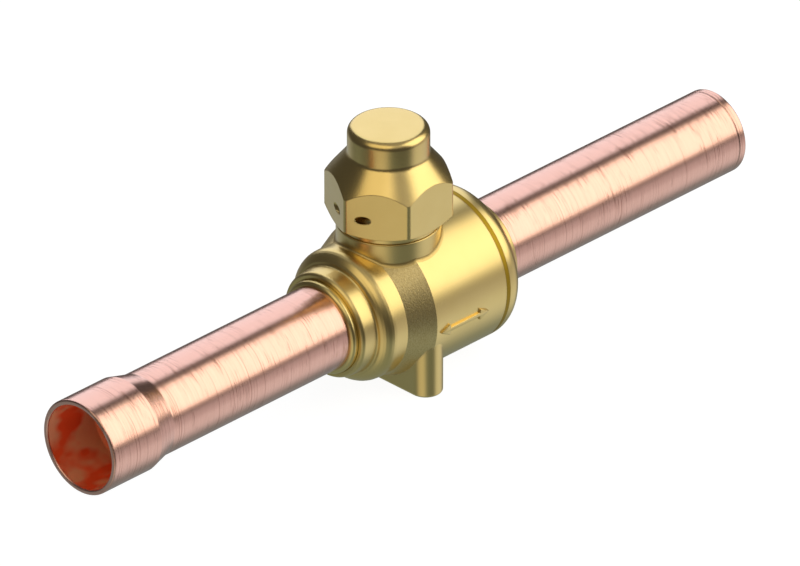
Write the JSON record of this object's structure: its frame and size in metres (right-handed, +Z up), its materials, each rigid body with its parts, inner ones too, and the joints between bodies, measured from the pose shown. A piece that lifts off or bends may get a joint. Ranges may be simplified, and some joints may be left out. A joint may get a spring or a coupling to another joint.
{
  "type": "shut-off ball valve",
  "caption": "Straight brass shut-off ball valve with copper solder ends, a hexagonal seal cap over its quarter-turn stem and a drilled foot.",
  "frame": {"origin": "point of the foot's underside right below the stem axis; the tube axis is 14.7 mm above it", "axes": "+X along the tubes towards the plain outlet end, +Z up along the stem towards the cap"},
  "size_m": [0.1594, 0.0292, 0.0491],
  "materials": {
    "forged_brass": "fine shot-blasted forging skin",
    "turned_brass": "satin turned and milled",
    "weld_metal": "smooth weld bead",
    "braze_metal": "smooth solidified filler",
    "copper": "drawn, finely brushed round the tube",
    "ball_plating": "polished plating",
    "seat_plastic": "smooth white PTFE",
    "seal_rubber": "matt chloroprene",
    "stem_steel": "turned",
    "spring_steel": "dark phosphated"
  },
  "bodies": {
    "housing": {"body": "forged_brass", "end_connector": "turned_brass", "weld_seam": "weld_metal", "inlet_tube": "copper", "outlet_tube": "copper", "inlet_braze_ring": "braze_metal", "outlet_braze_ring": "braze_metal", "inlet_seat": "seat_plastic", "outlet_seat": "seat_plastic", "inlet_seat_ring": "seal_rubber", "outlet_seat_ring": "seal_rubber", "thrust_washer": "seat_plastic", "stop_pin": "stem_steel"},
    "spindle": {"stem": "stem_steel", "lower_stem_ring": "seal_rubber", "upper_stem_ring": "seal_rubber", "stop_washer": "stem_steel", "retaining_ring": "spring_steel"},
    "ball": {"ball": "ball_plating"},
    "cap_seal": {"cap_gasket": "copper"},
    "cap": {"cap": "turned_brass"}
  },
  "joints": [
    {"name": "stem_turn", "type": "hinge", "parent": "housing", "child": "spindle", "pos_m": [0, 0, 0.0147], "axis": [0, 0, 1], "range_deg": [0, 90]},
    {"name": "ball_turn", "type": "hinge", "parent": "housing", "child": "ball", "pos_m": [0, 0, 0.0147], "axis": [0, 0, 1], "range_deg": [0, 90]},
    {"name": "cap_lift", "type": "slide", "parent": "housing", "child": "cap_seal", "axis": [0, 0, 1], "range_m": [0, 0.015]},
    {"name": "cap_turn", "type": "hinge", "parent": "cap_seal", "child": "cap", "pos_m": [0, 0, 0.0147], "axis": [0, 0, 1], "range_deg": [0, 3600]}
  ],
  "couplings": [
    {"joint": "ball_turn", "follows": "stem_turn", "ratio": 1},
    {"joint": "cap_lift", "follows": "cap_turn", "m_per_rad": 0.0002387}
  ]
}
